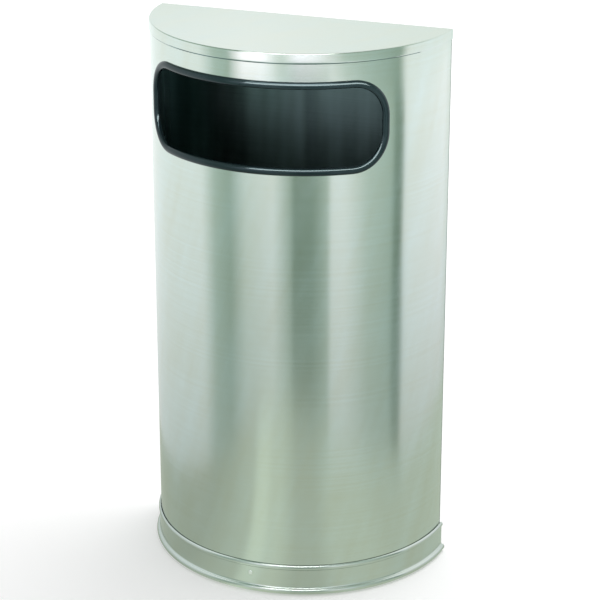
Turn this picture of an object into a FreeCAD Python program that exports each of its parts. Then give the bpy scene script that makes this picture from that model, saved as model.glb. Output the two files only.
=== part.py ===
import FreeCAD, Part
import math
import os

from FreeCAD import Placement, Rotation, Vector

# Half-round side-opening waste receptacle, in millimetres.
# +Z is up, the flat back faces +Y and the round front with its opening faces -Y.
# The origin is on the floor, under the middle of the bounding box.

# Overall
OVERALL_HEIGHT = 812.8
SHELL_RADIUS = 221.2          # outside of the rolled front sheet

# Sheet gauges and fits
SHELL_SHEET = 0.8
BASE_SHEET = 0.7
SEAM_SLIP = 0.1               # between two sheets that lie on one another
SHELL_CLEARANCE = 0.5         # between the lift-off shell and the base around it

# Top cap
CAP_FLANGE = 14.8             # depth of the turned-down flange
CAP_BEND = 2.0                # outside radius of the bend from top to flange

# Disposal opening, measured on the unrolled sheet, before the trim goes on
OPENING_WIDTH = 388.0
OPENING_HEIGHT = 116.0
OPENING_CORNER = 47.0
OPENING_DROP = 47.2           # from the top of the can to the cut edge

# Vinyl edge trim, a U-channel
TRIM_LEG = 8.0                # how far a leg reaches over the sheet
TRIM_WEB = 2.5                # how far the channel stands inside the cut edge
TRIM_WALL = 3.6               # thickness of each leg
TRIM_JOINT_ARC = -8.5         # where the ends butt in the top run, along the sheet from its middle
TRIM_JOINT_GAP = 0.4

# Back seams of the shell
RETURN_WIDTH = 9.5            # folded strip along each back edge of the front sheet
HEM_HEIGHT = 12.0             # folded strip along the bottom edge
SEAM_RIVET_COUNT = 5
SEAM_RIVET_MARGIN = 80.0      # from the ends of the seam to the outer rivets
CAP_RIVET_COUNT = 3
CAP_RIVET_SPREAD = 300.0      # from the first to the last rivet

# Rivets
RIVET_SHANK_R = 1.6
RIVET_HEAD_R = 3.2
RIVET_HEAD_HEIGHT = 1.0
RIVET_TAIL_R = 2.6
RIVET_HOLE_SLIP = 0.1         # on the radius

# Base band
LIP_TOP = 46.8
LIP_HEIGHT = 7.0
LIP_BULGE = 1.8
COVE_RADIUS = 3.0
BEAD_RADIUS = 4.5
BEAD_PROJECTION = 5.4         # from the band's wall to the widest point of the can
BEAD_CURL = 20.0              # degrees that the bead curls on past its lowest point
GROUND_GAP = 1.75             # under the bead
TAB_WIDTH = 22.0              # tab at each end of the band, behind the pan's back flange
TAB_BOTTOM = 20.0
TAB_HEIGHT = 19.0
BASE_RIVET_HEIGHT = 29.5

# Floor pan
FOOT_HEIGHT = 5.0             # underside of the pan above the floor
PAN_FLANGE_TOP = 36.0         # curved flange
PAN_BACK_TOP = 46.0           # straight back flange
PAN_RELIEF = 12.0             # where the curved flange stops, ahead of the back

# Rubber feet
FOOT_RADIUS = 15.0
FOOT_EDGE = 1.0               # chamfer round the lower edge
FOOT_INSET = 48.0             # from the pan's wall to the middle of a foot
FOOT_ANGLES = {"front_left": -32.0, "front_right": 32.0, "back_left": -70.0, "back_right": 70.0}
FOOT_BORE_R = 5.5             # recess for the rivet's lower end
FOOT_BORE_DEPTH = 2.6
FOOT_RIVET_SHANK_R = 2.0
FOOT_RIVET_HEAD_R = 4.0
FOOT_RIVET_TAIL_HEIGHT = 1.2

# Rigid liner
LINER_CLEARANCE = 7.0         # between the rim and what hangs inside the shell
LINER_DROP = 90.0             # from the cut edge of the opening down to the rim
LINER_WALL = 2.2
LINER_FLOOR = 3.0
LINER_RIM_HEIGHT = 14.0
LINER_RIM_REACH = 5.0         # from the wall to the outside of the rim
LINER_DRAFT = 6.0             # how much narrower the bottom is, on each side
LINER_CORNER = 22.0           # at the two back corners
LINER_RECESS = 3.0            # the floor stands this high over the foot ring
LINER_RING = 12.0             # width of the foot ring

# Radii from the inside out
SHELL_INSIDE_R = SHELL_RADIUS - SHELL_SHEET
CAP_INSIDE_R = SHELL_RADIUS + SEAM_SLIP
CAP_RADIUS = CAP_INSIDE_R + SHELL_SHEET
PAN_INSIDE_R = SHELL_RADIUS + SHELL_CLEARANCE
PAN_RADIUS = PAN_INSIDE_R + BASE_SHEET
BAND_INSIDE_R = PAN_RADIUS + SEAM_SLIP
BAND_RADIUS = BAND_INSIDE_R + BASE_SHEET
BEAD_OUTSIDE_R = BAND_RADIUS + BEAD_PROJECTION

# The axis of all the round pieces stands in the plane of the back
BACK_Y = BEAD_OUTSIDE_R / 2.0

# Places along Y at the back, from the wall inwards
PAN_BACK_INSIDE_Y = BACK_Y - BASE_SHEET
TAB_OUTSIDE_Y = PAN_BACK_INSIDE_Y - SEAM_SLIP
TAB_INSIDE_Y = TAB_OUTSIDE_Y - BASE_SHEET
PANEL_OUTSIDE_Y = TAB_INSIDE_Y - RIVET_HEAD_HEIGHT - SHELL_CLEARANCE
PANEL_INSIDE_Y = PANEL_OUTSIDE_Y - SHELL_SHEET
RETURN_OUTSIDE_Y = PANEL_INSIDE_Y - SEAM_SLIP
RETURN_INSIDE_Y = RETURN_OUTSIDE_Y - SHELL_SHEET
CAP_BACK_INSIDE_Y = PANEL_OUTSIDE_Y + SEAM_SLIP
CAP_BACK_Y = CAP_BACK_INSIDE_Y + SHELL_SHEET

# Heights
FLOOR_TOP = FOOT_HEIGHT + BASE_SHEET
CAP_UNDERSIDE = OVERALL_HEIGHT - SHELL_SHEET
SHELL_TOP = CAP_UNDERSIDE - CAP_BEND
CAP_FLANGE_BOTTOM = OVERALL_HEIGHT - CAP_FLANGE
OPENING_TOP = OVERALL_HEIGHT - OPENING_DROP
OPENING_MIDDLE = OPENING_TOP - OPENING_HEIGHT / 2.0
LINER_TOP = OPENING_TOP - OPENING_HEIGHT - LINER_DROP

MARGIN = 10.0                 # how far a cutting tool runs past the piece that it cuts

pieces = {}


def box(x0, x1, y0, y1, z0, z1):
    """A block between two corners."""
    return Part.makeBox(x1 - x0, y1 - y0, z1 - z0, Vector(x0, y0, z0))


def half_round(radius, back_y, z0, z1):
    """A half-round block: a disc about the can's axis, cut straight at back_y."""
    disc = Part.makeCylinder(radius, z1 - z0, Vector(0, BACK_Y, z0))
    reach = radius + MARGIN
    return disc.common(box(-reach, reach, BACK_Y - reach, back_y, z0, z1))


def arc(start, through, end):
    return Part.Arc(start, through, end).toShape()


def soft_half_round_wire(radius, back_y, corner, z):
    """The half-round outline with its two back corners rounded, as one wire at height z."""
    corner_y = back_y - corner
    across = BACK_Y - corner_y
    corner_x = math.sqrt((radius - corner) ** 2 - across ** 2)
    lean = math.atan2(corner_x, across)

    def on_front(angle):
        return Vector(radius * math.sin(angle), BACK_Y - radius * math.cos(angle), z)

    def on_corner(side, angle):
        return Vector(side * (corner_x + corner * math.cos(angle)), corner_y + corner * math.sin(angle), z)

    back_left = Vector(-corner_x, back_y, z)
    back_right = Vector(corner_x, back_y, z)
    return Part.Wire([
        Part.makeLine(back_left, back_right),
        arc(back_right, on_corner(1, lean / 2.0), on_front(lean)),
        arc(on_front(lean), on_front(lean / 2.0), on_front(0.0)),
        arc(on_front(0.0), on_front(-lean / 2.0), on_front(-lean)),
        arc(on_front(-lean), on_corner(-1, lean / 2.0), back_left),
    ])


def soft_half_round(radius, back_y, corner, z0, z1):
    """An upright block of the rounded half-round outline."""
    face = Part.Face(soft_half_round_wire(radius, back_y, corner, z0))
    return face.extrude(Vector(0, 0, z1 - z0))


def opening_edges(radius, grow):
    """The outline of the opening, grown by a margin and wrapped on a cylinder of this radius.

    Lengths along the sheet are taken on the outside of the shell, and every point keeps its
    angle from one radius to the next, so that cut edges stand square to the sheet.
    """
    half_width = OPENING_WIDTH / 2.0 + grow
    half_height = OPENING_HEIGHT / 2.0 + grow
    corner = OPENING_CORNER + grow
    run = half_width - corner
    rise = half_height - corner
    corner_steps = 12

    def on_sheet(along, up):
        angle = along / SHELL_RADIUS
        x = radius * math.sin(angle)
        y = BACK_Y - radius * math.cos(angle)
        return Vector(x, y, OPENING_MIDDLE + up)

    def level_edge(start, end, up):
        return arc(on_sheet(start, up), on_sheet((start + end) / 2.0, up), on_sheet(end, up))

    def upright_edge(along, start, end):
        return Part.makeLine(on_sheet(along, start), on_sheet(along, end))

    def corner_edge(side_x, side_z, start, end):
        points = []
        for step in range(corner_steps + 1):
            turn = math.radians(start + (end - start) * step / corner_steps)
            along = side_x * run + corner * math.cos(turn)
            up = side_z * rise + corner * math.sin(turn)
            points.append(on_sheet(along, up))
        curve = Part.BSplineCurve()
        curve.interpolate(points)
        return curve.toShape()

    return [
        level_edge(-run, run, half_height),
        corner_edge(1, 1, 90.0, 0.0),
        upright_edge(half_width, rise, -rise),
        corner_edge(1, -1, 0.0, -90.0),
        level_edge(run, -run, -half_height),
        corner_edge(-1, -1, 270.0, 180.0),
        upright_edge(-half_width, -rise, rise),
        corner_edge(-1, 1, 180.0, 90.0),
    ]


def opening_block(inner_r, outer_r, grow):
    """A solid plug of the opening's outline between two radii, with walls square to the sheet."""
    inner_edges = opening_edges(inner_r, grow)
    outer_edges = opening_edges(outer_r, grow)
    faces = [Part.makeRuledSurface(inner, outer) for inner, outer in zip(inner_edges, outer_edges)]
    for radius, edges in ((inner_r, inner_edges), (outer_r, outer_edges)):
        cylinder = Part.Cylinder()
        cylinder.Radius = radius
        cylinder.Center = Vector(0, BACK_Y, 0)
        cap = Part.Face(cylinder, Part.Wire(edges))
        cap.validate()
        faces.append(cap)
    shell = Part.makeShell(faces)
    shell.sewShape()
    plug = Part.Solid(shell)
    if plug.Volume < 0:
        plug.reverse()
    return plug


def rivet(seat, outward, grip, shank_r, head_r, head_height, tail_r, tail_height):
    """A rivet whose domed head sits on the point seat and whose shank runs back through the grip.

    A tail of no height is set flush with the sheet.
    """
    outline = [Vector(0, 0, -grip - tail_height)]
    if tail_height > 0:
        outline += [Vector(tail_r, 0, -grip - tail_height), Vector(tail_r, 0, -grip)]
    outline += [Vector(shank_r, 0, -grip), Vector(shank_r, 0, 0)]
    outline += [Vector(head_r, 0, 0)]
    edges = [Part.makeLine(start, end) for start, end in zip(outline, outline[1:])]
    dome_r = (head_r ** 2 + head_height ** 2) / (2.0 * head_height)
    half = math.asin(head_r / dome_r) / 2.0
    middle = Vector(dome_r * math.sin(half), 0, head_height - dome_r * (1.0 - math.cos(half)))
    crown = Vector(0, 0, head_height)
    edges.append(arc(outline[-1], middle, crown))
    edges.append(Part.makeLine(crown, outline[0]))
    solid = Part.Face(Part.Wire(edges)).revolve(Vector(0, 0, 0), Vector(0, 0, 1), 360)
    solid.Placement = Placement(seat, Rotation(Vector(0, 0, 1), outward))
    return solid


def hole(seat, outward, radius, depth):
    """A drill that enters at the point seat, for cutting rivet holes."""
    start = seat + outward * MARGIN
    return Part.makeCylinder(radius, depth + 2.0 * MARGIN, start, outward * -1.0)


def spaced(first, last, count):
    """Evenly spaced places from first to last."""
    return [first + (last - first) * step / (count - 1) for step in range(count)]


BACKWARD = Vector(0, 1, 0)
FORWARD = Vector(0, -1, 0)
UP = Vector(0, 0, 1)
RIVET_HOLE_R = RIVET_SHANK_R + RIVET_HOLE_SLIP

# Where the shell's rivets sit, on the outside of the back panel and of the cap's rear flange
SEAM_X = math.sqrt(SHELL_RADIUS ** 2 - (BACK_Y - PANEL_OUTSIDE_Y) ** 2) - RETURN_WIDTH / 2.0
SEAM_HEIGHTS = spaced(FLOOR_TOP + SEAM_RIVET_MARGIN, SHELL_TOP - SEAM_RIVET_MARGIN, SEAM_RIVET_COUNT)
seam_seats = {}
for side_name, side in (("left", -1), ("right", 1)):
    seam_seats[side_name] = [Vector(side * SEAM_X, PANEL_OUTSIDE_Y, z) for z in SEAM_HEIGHTS]
CAP_RIVET_Z = OVERALL_HEIGHT - CAP_FLANGE / 2.0 - SHELL_SHEET / 2.0
cap_seats = []
for x in spaced(-CAP_RIVET_SPREAD / 2.0, CAP_RIVET_SPREAD / 2.0, CAP_RIVET_COUNT):
    cap_seats.append(Vector(x, CAP_BACK_Y, CAP_RIVET_Z))
SHELL_GRIP = PANEL_OUTSIDE_Y - RETURN_INSIDE_Y
CAP_GRIP = CAP_BACK_Y - PANEL_INSIDE_Y
seam_drills = []
for seats in seam_seats.values():
    seam_drills += [hole(seat, BACKWARD, RIVET_HOLE_R, SHELL_GRIP) for seat in seats]
cap_drills = [hole(seat, BACKWARD, RIVET_HOLE_R, CAP_GRIP) for seat in cap_seats]

# Front wrap: one sheet rolled to a half circle, with a return folded in along each back edge,
# a hem folded in along the bottom edge and the disposal opening cut through it
wrap = half_round(SHELL_RADIUS, RETURN_OUTSIDE_Y, FLOOR_TOP, SHELL_TOP)
hollow = half_round(SHELL_INSIDE_R, RETURN_INSIDE_Y, FLOOR_TOP + HEM_HEIGHT, SHELL_TOP + MARGIN)
hollow = hollow.fuse(half_round(SHELL_INSIDE_R - SHELL_SHEET, RETURN_INSIDE_Y,
                                FLOOR_TOP - MARGIN, FLOOR_TOP + HEM_HEIGHT))
gap_x = SEAM_X - RETURN_WIDTH / 2.0
between_returns = box(-gap_x, gap_x, RETURN_INSIDE_Y - MARGIN, BACK_Y,
                      FLOOR_TOP - MARGIN, SHELL_TOP + MARGIN)
wrap = wrap.cut(hollow.fuse(between_returns))
wrap = wrap.cut(opening_block(SHELL_INSIDE_R - MARGIN, SHELL_RADIUS + MARGIN, 0.0))
pieces["front_wrap"] = wrap.cut(seam_drills)

# Back panel: a flat sheet riveted to the outside of the two returns
panel_x = SEAM_X + RETURN_WIDTH / 2.0
panel = box(-panel_x, panel_x, PANEL_INSIDE_Y, PANEL_OUTSIDE_Y, FLOOR_TOP, SHELL_TOP)
pieces["back_panel"] = panel.cut(seam_drills + cap_drills)

# Top cap: a flat half-round lid, its flange sleeved over the wrap and the back panel
cap = half_round(CAP_RADIUS, CAP_BACK_Y, CAP_FLANGE_BOTTOM, OVERALL_HEIGHT)
top_edges = [edge for edge in cap.Edges if edge.BoundBox.ZMin > CAP_UNDERSIDE]
cap = cap.makeFillet(CAP_BEND, top_edges)
inside = half_round(CAP_INSIDE_R, CAP_BACK_INSIDE_Y, CAP_FLANGE_BOTTOM - MARGIN, CAP_UNDERSIDE)
inside_edges = [edge for edge in inside.Edges if edge.BoundBox.ZMin > CAP_FLANGE_BOTTOM]
inside = inside.makeFillet(CAP_BEND - SHELL_SHEET, inside_edges)
pieces["top_cap"] = cap.cut(inside).cut(cap_drills)

# Opening trim: a U-channel round the cut edge, its ends butted in the top run
leg_outside_r = SHELL_RADIUS + SEAM_SLIP + TRIM_WALL
leg_inside_r = SHELL_INSIDE_R - SEAM_SLIP - TRIM_WALL
trim = opening_block(leg_inside_r, leg_outside_r, TRIM_LEG)
trim = trim.cut(opening_block(leg_inside_r - MARGIN, leg_outside_r + MARGIN, -TRIM_WEB))
slot = opening_block(SHELL_INSIDE_R - SEAM_SLIP, SHELL_RADIUS + SEAM_SLIP, TRIM_LEG + MARGIN)
slot = slot.cut(opening_block(leg_inside_r - MARGIN, leg_outside_r + MARGIN, -SEAM_SLIP))
joint_angle = math.degrees(TRIM_JOINT_ARC / SHELL_RADIUS)
joint_cut = box(-TRIM_JOINT_GAP / 2.0, TRIM_JOINT_GAP / 2.0,
                -leg_outside_r - MARGIN, -leg_inside_r + MARGIN, OPENING_MIDDLE, OVERALL_HEIGHT)
joint_cut.rotate(Vector(0, 0, 0), UP, joint_angle)
joint_cut.translate(Vector(0, BACK_Y, 0))
pieces["opening_trim"] = trim.cut(slot).cut(joint_cut)

# Rivets of the shell
for side_name in seam_seats:
    group = [rivet(seat, BACKWARD, SHELL_GRIP, RIVET_SHANK_R, RIVET_HEAD_R, RIVET_HEAD_HEIGHT,
                   RIVET_TAIL_R, RIVET_HEAD_HEIGHT) for seat in seam_seats[side_name]]
    pieces[side_name + "_seam_rivets"] = Part.makeCompound(group)
group = [rivet(seat, BACKWARD, CAP_GRIP, RIVET_SHANK_R, RIVET_HEAD_R, RIVET_HEAD_HEIGHT,
               RIVET_TAIL_R, RIVET_HEAD_HEIGHT) for seat in cap_seats]
pieces["cap_rivets"] = Part.makeCompound(group)

# Where the base's rivets sit: one at the front of the band and one through each end tab
front_seat = Vector(0, BACK_Y - BAND_RADIUS, BASE_RIVET_HEIGHT)
tab_x = BAND_INSIDE_R - TAB_WIDTH / 2.0
back_seats = [Vector(side * tab_x, BACK_Y, BASE_RIVET_HEIGHT) for side in (-1, 1)]
BACK_GRIP = BACK_Y - TAB_INSIDE_Y
FRONT_GRIP = BAND_RADIUS - math.sqrt(PAN_INSIDE_R ** 2 - RIVET_SHANK_R ** 2)
base_drills = [hole(front_seat, FORWARD, RIVET_HOLE_R, FRONT_GRIP)]
base_drills += [hole(seat, BACKWARD, RIVET_HOLE_R, BACK_GRIP) for seat in back_seats]

# Base band: the wall bulges into a lip at the top, sweeps out through a cove and rolls under as
# a bead at the foot. Its section runs down the outside and back up the inside.
bead_turn = math.acos(1.0 - BEAD_PROJECTION / (COVE_RADIUS + BEAD_RADIUS))
cove_r = BAND_RADIUS + COVE_RADIUS
bead_r = cove_r - (COVE_RADIUS + BEAD_RADIUS) * math.cos(bead_turn)
bead_z = GROUND_GAP + BEAD_RADIUS
cove_z = bead_z + (COVE_RADIUS + BEAD_RADIUS) * math.sin(bead_turn)
lip_bottom = LIP_TOP - LIP_HEIGHT
lip_middle = LIP_TOP - LIP_HEIGHT / 2.0
curl_end = math.radians(-90.0 - BEAD_CURL)


def on_cove(radius, angle):
    return Vector(cove_r - radius * math.cos(angle), BACK_Y, cove_z - radius * math.sin(angle))


def on_bead(radius, angle):
    return Vector(bead_r + radius * math.cos(angle), BACK_Y, bead_z + radius * math.sin(angle))


def band_face(wall_r, inset):
    """The points of one face of the sheet, from the lip to the end of the curl."""
    cove_radius = COVE_RADIUS + inset
    bead_radius = BEAD_RADIUS - inset
    top = Vector(wall_r, BACK_Y, LIP_TOP)
    neck = Vector(wall_r, BACK_Y, lip_bottom)
    bulge = Vector(wall_r + LIP_BULGE, BACK_Y, lip_middle)
    edges = [
        arc(top, bulge, neck),
        Part.makeLine(neck, on_cove(cove_radius, 0.0)),
        arc(on_cove(cove_radius, 0.0), on_cove(cove_radius, bead_turn / 2.0),
            on_cove(cove_radius, bead_turn)),
        arc(on_bead(bead_radius, bead_turn), on_bead(bead_radius, (bead_turn + curl_end) / 2.0),
            on_bead(bead_radius, curl_end)),
    ]
    return edges, top, on_bead(bead_radius, curl_end)


outside, outside_top, outside_end = band_face(BAND_RADIUS, 0.0)
inside, inside_top, inside_end = band_face(BAND_INSIDE_R, BASE_SHEET)
section = outside + [Part.makeLine(outside_end, inside_end)] + inside[::-1]
section.append(Part.makeLine(inside_top, outside_top))
profile = Part.Face(Part.Wire(section))
band = profile.revolve(Vector(0, BACK_Y, 0), UP, -180)
for side in (-1, 1):
    ends = sorted((side * (BAND_INSIDE_R - TAB_WIDTH), side * (BAND_INSIDE_R + BASE_SHEET / 2.0)))
    tab = box(ends[0], ends[1], TAB_INSIDE_Y, TAB_OUTSIDE_Y, TAB_BOTTOM, TAB_BOTTOM + TAB_HEIGHT)
    band = band.fuse(tab)
pieces["base_band"] = band.cut(base_drills)

# Floor pan: a floor with a curved flange inside the band and a straight flange across the back.
# The curved flange stops short of the corners, where the band's end tabs come in.
foot_places = {}
for name, angle in FOOT_ANGLES.items():
    reach = PAN_RADIUS - FOOT_INSET
    x = reach * math.sin(math.radians(angle))
    y = BACK_Y - reach * math.cos(math.radians(angle))
    foot_places[name] = Vector(x, y, FLOOR_TOP)
foot_hole_r = FOOT_RIVET_SHANK_R + RIVET_HOLE_SLIP
foot_drills = [hole(place, UP, foot_hole_r, FLOOR_TOP) for place in foot_places.values()]
pan = half_round(PAN_RADIUS, BACK_Y, FOOT_HEIGHT, FLOOR_TOP)
flange_end = BACK_Y - PAN_RELIEF
flange = half_round(PAN_RADIUS, flange_end, FOOT_HEIGHT, PAN_FLANGE_TOP)
pan = pan.fuse(flange.cut(half_round(PAN_INSIDE_R, BACK_Y, FLOOR_TOP, PAN_FLANGE_TOP + MARGIN)))
pan = pan.fuse(box(-PAN_RADIUS, PAN_RADIUS, PAN_BACK_INSIDE_Y, BACK_Y, FLOOR_TOP, PAN_BACK_TOP))
pan = pan.common(half_round(PAN_RADIUS, BACK_Y, FOOT_HEIGHT, PAN_BACK_TOP))
pieces["floor_pan"] = pan.removeSplitter().cut(base_drills + foot_drills)

# Rivets of the base, flush on the face that the shell slides past or that meets the wall
pieces["base_front_rivet"] = rivet(front_seat, FORWARD, FRONT_GRIP, RIVET_SHANK_R, RIVET_HEAD_R,
                                   RIVET_HEAD_HEIGHT, RIVET_TAIL_R, 0.0)
group = [rivet(Vector(seat.x, TAB_INSIDE_Y, seat.z), FORWARD, BACK_GRIP, RIVET_SHANK_R, RIVET_HEAD_R,
               RIVET_HEAD_HEIGHT, RIVET_TAIL_R, 0.0) for seat in back_seats]
pieces["base_back_rivets"] = Part.makeCompound(group)

# Rubber feet under the pan, each held by a rivet set in a recess
for name, place in foot_places.items():
    middle = Vector(place.x, place.y, 0)
    foot = Part.makeCylinder(FOOT_RADIUS, FOOT_HEIGHT, middle)
    lower_edges = [edge for edge in foot.Edges if edge.BoundBox.ZMax < FOOT_HEIGHT / 2.0]
    foot = foot.makeChamfer(FOOT_EDGE, lower_edges)
    foot = foot.cut(Part.makeCylinder(FOOT_BORE_R, FOOT_BORE_DEPTH, middle))
    pieces["foot_" + name] = foot.cut(foot_drills)
foot_grip = FLOOR_TOP - FOOT_BORE_DEPTH
group = [rivet(place, UP, foot_grip, FOOT_RIVET_SHANK_R, FOOT_RIVET_HEAD_R, RIVET_HEAD_HEIGHT,
               FOOT_RIVET_HEAD_R, FOOT_RIVET_TAIL_HEIGHT) for place in foot_places.values()]
pieces["foot_rivets"] = Part.makeCompound(group)

# Liner: a tapered half-round bin that stands on the pan on a foot ring, with its rim turned over
rim_r = leg_inside_r - LINER_CLEARANCE
rim_back = RETURN_INSIDE_Y - RIVET_HEAD_HEIGHT - LINER_CLEARANCE


def liner_wire(z, inset):
    """The liner's outline at height z, moved in from the outside of its wall."""
    narrower = LINER_DRAFT * (LINER_TOP - z) / (LINER_TOP - FLOOR_TOP)
    step_in = LINER_RIM_REACH + narrower + inset
    return soft_half_round_wire(rim_r - step_in, rim_back - step_in, LINER_CORNER, z)


def rim_block(inset, z0, z1):
    return soft_half_round(rim_r - inset, rim_back - inset, LINER_CORNER, z0, z1)


liner_floor = FLOOR_TOP + LINER_RECESS + LINER_FLOOR
liner = Part.makeLoft([liner_wire(FLOOR_TOP, 0.0), liner_wire(LINER_TOP, 0.0)], True, True)
rim = rim_block(0.0, LINER_TOP - LINER_RIM_HEIGHT, LINER_TOP)
rim = rim.cut(rim_block(LINER_WALL, LINER_TOP - LINER_RIM_HEIGHT, LINER_TOP - LINER_WALL))
liner = liner.fuse(rim)
liner = liner.cut(Part.makeLoft([liner_wire(liner_floor, LINER_WALL),
                                 liner_wire(LINER_TOP + MARGIN, LINER_WALL)], True, True))
recess = Part.makeLoft([liner_wire(FLOOR_TOP, LINER_RING),
                        liner_wire(FLOOR_TOP + LINER_RECESS, LINER_RING)], True, True)
pieces["liner"] = liner.cut(recess)

os.makedirs("parts", exist_ok=True)
for name, shape in pieces.items():
    shape.exportStep("parts/" + name + ".step")
    state = "valid" if shape.isValid() else "not valid"
    print(name, len(shape.Solids), "solids", round(shape.Volume), "mm3", state)
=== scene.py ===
import math

import bmesh
import bpy
from mathutils import Matrix, Vector


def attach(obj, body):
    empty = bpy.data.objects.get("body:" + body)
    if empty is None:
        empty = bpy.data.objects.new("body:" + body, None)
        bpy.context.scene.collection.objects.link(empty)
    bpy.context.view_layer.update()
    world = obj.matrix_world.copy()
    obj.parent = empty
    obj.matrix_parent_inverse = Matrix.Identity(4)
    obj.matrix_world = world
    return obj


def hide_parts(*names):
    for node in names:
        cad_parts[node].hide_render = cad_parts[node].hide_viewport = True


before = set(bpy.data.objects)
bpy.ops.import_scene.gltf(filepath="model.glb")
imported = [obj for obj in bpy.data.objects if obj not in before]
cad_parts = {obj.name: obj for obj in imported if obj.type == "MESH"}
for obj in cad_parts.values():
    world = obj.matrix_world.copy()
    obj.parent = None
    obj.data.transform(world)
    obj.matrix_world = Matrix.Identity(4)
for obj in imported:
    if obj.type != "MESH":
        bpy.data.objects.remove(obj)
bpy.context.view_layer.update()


# Rubber feet: four black moulded discs that keep the steel off the floor.
# Each is held under the pan by a rivet set in its recess.
# The modelled discs stay as they are and get the look of moulded rubber.

FOOT_NODES = ("foot_front_left", "foot_front_right", "foot_back_left", "foot_back_right")
RUBBER_DARK = (0.016, 0.016, 0.016)
RUBBER_LIGHT = (0.032, 0.031, 0.030)
NOISE_LOW = 0.3               # nearly all of a noise lies between these two values
NOISE_HIGH = 0.7
MOTTLE_SCALE = 35.0
GRAIN_STRENGTH = 0.4
MOULDED_GLOSS_RANGE = 0.06    # how far the roughness of a moulded piece wanders either way


def add_node(tree, kind, **values):
    """Adds a shader node and sets its plain inputs by name."""
    made = tree.nodes.new(kind)
    for label, value in values.items():
        made.inputs[label.replace("_", " ")].default_value = value
    return made


def new_material(name):
    """Starts a material and returns it with its node tree and its shader."""
    material = bpy.data.materials.new(name)
    material.use_nodes = True
    tree = material.node_tree
    return material, tree, tree.nodes["Principled BSDF"]


def spread(tree, source, low, high):
    """Maps a noise value onto the range from low to high."""
    ranged = add_node(tree, "ShaderNodeMapRange", From_Min=NOISE_LOW, From_Max=NOISE_HIGH,
                      To_Min=low, To_Max=high)
    tree.links.new(source, ranged.inputs["Value"])
    return ranged.outputs["Result"]


def tint(tree, source, dark, light):
    """Maps a noise value onto the colours from dark to light."""
    ramp = add_node(tree, "ShaderNodeValToRGB")
    first, last = ramp.color_ramp.elements
    first.position = NOISE_LOW
    first.color = (*dark, 1.0)
    last.position = NOISE_HIGH
    last.color = (*light, 1.0)
    tree.links.new(source, ramp.inputs["Fac"])
    return ramp.outputs["Color"]


def moulded(name, dark, light, roughness, grain_size, grain_depth):
    """A moulded rubber or plastic: faint mottling, uneven gloss and a fine grain."""
    material, tree, shader = new_material(name)
    place = add_node(tree, "ShaderNodeTexCoord").outputs["Object"]
    mottle = add_node(tree, "ShaderNodeTexNoise", Scale=MOTTLE_SCALE, Detail=4.0)
    grain = add_node(tree, "ShaderNodeTexNoise", Scale=1.0 / grain_size, Detail=2.0)
    tree.links.new(place, mottle.inputs["Vector"])
    tree.links.new(place, grain.inputs["Vector"])
    colour = tint(tree, mottle.outputs["Fac"], dark, light)
    tree.links.new(colour, shader.inputs["Base Color"])
    gloss = spread(tree, mottle.outputs["Fac"], roughness - MOULDED_GLOSS_RANGE,
                   roughness + MOULDED_GLOSS_RANGE)
    tree.links.new(gloss, shader.inputs["Roughness"])
    bump = add_node(tree, "ShaderNodeBump", Strength=GRAIN_STRENGTH, Distance=grain_depth)
    tree.links.new(grain.outputs["Fac"], bump.inputs["Height"])
    tree.links.new(bump.outputs["Normal"], shader.inputs["Normal"])
    return material


foot_rubber = moulded("foot_rubber", RUBBER_DARK, RUBBER_LIGHT, roughness=0.72, grain_size=0.0012,
                      grain_depth=0.0002)
for node in FOOT_NODES:
    for foot_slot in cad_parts[node].material_slots:
        foot_slot.material = foot_rubber


# Floor pan: a half-round tray of plain mill-finish sheet that closes the bottom of the can.
# Its curved flange stands inside the base band. The straight flange across the back meets
# the wall behind the can, and the two stop short of one another at the corners.

FORWARD = (0.0, -1.0, 0.0)    # out of the round front
BACKWARD = (0.0, 1.0, 0.0)
UPWARD = (0.0, 0.0, 1.0)
DOWNWARD = (0.0, 0.0, -1.0)
AXIS_Y = 0.1143               # the axis of all the round pieces stands in the plane of the back
ROUND_STEPS = 160             # steps in the half turn of a round piece
CORNER_STEPS = 10             # steps in a rounded corner of a half-round piece
BEND_STEPS = 3                # steps in a small bend
SAME_POINT = 1e-6             # points nearer to one another than this are one
SLACK = 1e-5                  # how far a point may lie off the line or plane that it is sought on
PAN_RADIUS = 0.2224
PAN_UNDERSIDE = 0.0050
PAN_FLANGE_TOP = 0.0360
PAN_BACK_TOP = 0.0460
PAN_RELIEF = 0.0120
PAN_BEND = 0.0016
PAN_DARK = (0.560, 0.602, 0.574)
PAN_LIGHT = (0.756, 0.798, 0.770)
BASE_SHEET = 0.0007
LEVEL_FACE = 0.75             # how far a face has to look up or down to count as level
BACK_FACE = 0.9               # how far it has to look forward or back to be one of the flat back's
BACK_DEPTH = 0.012            # how far the flat back's faces lie in front of the axis at most
STEEL_GLOSS_RANGE = 0.05      # how far the roughness of the sheet wanders either way
SCRATCH_DEPTH = 0.00004


def everything(mesh):
    return mesh.verts[:] + mesh.edges[:] + mesh.faces[:]


def draw_arc(mesh, start, centre, axis, turn, steps):
    """Draws on from a corner of an outline along an arc about centre, and returns where it ends."""
    swung = bmesh.ops.spin(mesh, geom=[start], cent=centre, axis=axis, angle=turn, steps=steps,
                           use_merge=False, use_duplicate=False)
    return [item for item in swung["geom_last"] if isinstance(item, bmesh.types.BMVert)][0]


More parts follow.
